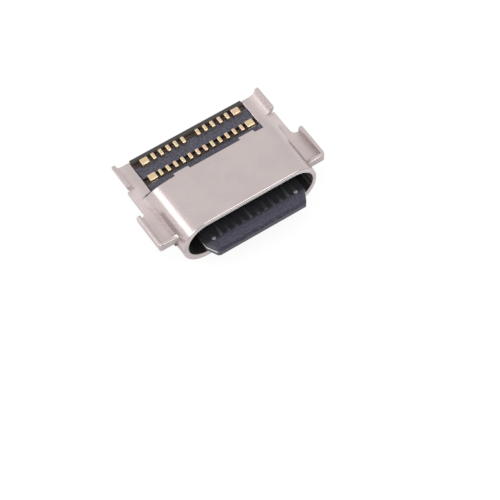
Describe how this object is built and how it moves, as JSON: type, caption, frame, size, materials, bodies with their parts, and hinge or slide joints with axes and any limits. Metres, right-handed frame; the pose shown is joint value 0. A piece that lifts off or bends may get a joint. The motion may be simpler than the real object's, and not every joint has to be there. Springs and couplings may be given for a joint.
{
  "type": "charging port",
  "caption": "Reversible mid-mount charging port for a handset board: folded nickel shell with winged lips, dark contact tongue and rows of gilt solder tails.",
  "frame": {"origin": "middle of the part's box, on the flat back face that it lies on", "axes": "+X along the mouth's width, +Y from the mouth to the rear, +Z from the back to the solder side"},
  "size_m": [0.0112, 0.008, 0.0034],
  "materials": {
    "nickel_shell": "satin nickel over folded steel sheet",
    "dark_moulding": "fine moulded, dark blue-grey",
    "gilt_contact": "thin pale gilding over copper alloy strip",
    "ground_plate": "bare stamped steel sheet"
  },
  "bodies": {
    "root": {"upper_shell": "nickel_shell", "lower_shell": "nickel_shell", "tongue": "dark_moulding", "upper_carrier": "dark_moulding", "lower_carrier": "dark_moulding", "mid_plate": "ground_plate", "upper_shield_pad": "ground_plate", "lower_shield_pad": "ground_plate", "upper_contact_01": "gilt_contact", "upper_contact_02": "gilt_contact", "upper_contact_03": "gilt_contact", "upper_contact_04": "gilt_contact", "upper_contact_05": "gilt_contact", "upper_contact_06": "gilt_contact", "upper_contact_07": "gilt_contact", "upper_contact_08": "gilt_contact", "upper_contact_09": "gilt_contact", "upper_contact_10": "gilt_contact", "upper_contact_11": "gilt_contact", "upper_contact_12": "gilt_contact", "lower_contact_01": "gilt_contact", "lower_contact_02": "gilt_contact", "lower_contact_03": "gilt_contact", "lower_contact_04": "gilt_contact", "lower_contact_05": "gilt_contact", "lower_contact_06": "gilt_contact", "lower_contact_07": "gilt_contact", "lower_contact_08": "gilt_contact", "lower_contact_09": "gilt_contact", "lower_contact_10": "gilt_contact", "lower_contact_11": "gilt_contact", "lower_contact_12": "gilt_contact"}
  },
  "joints": []
}
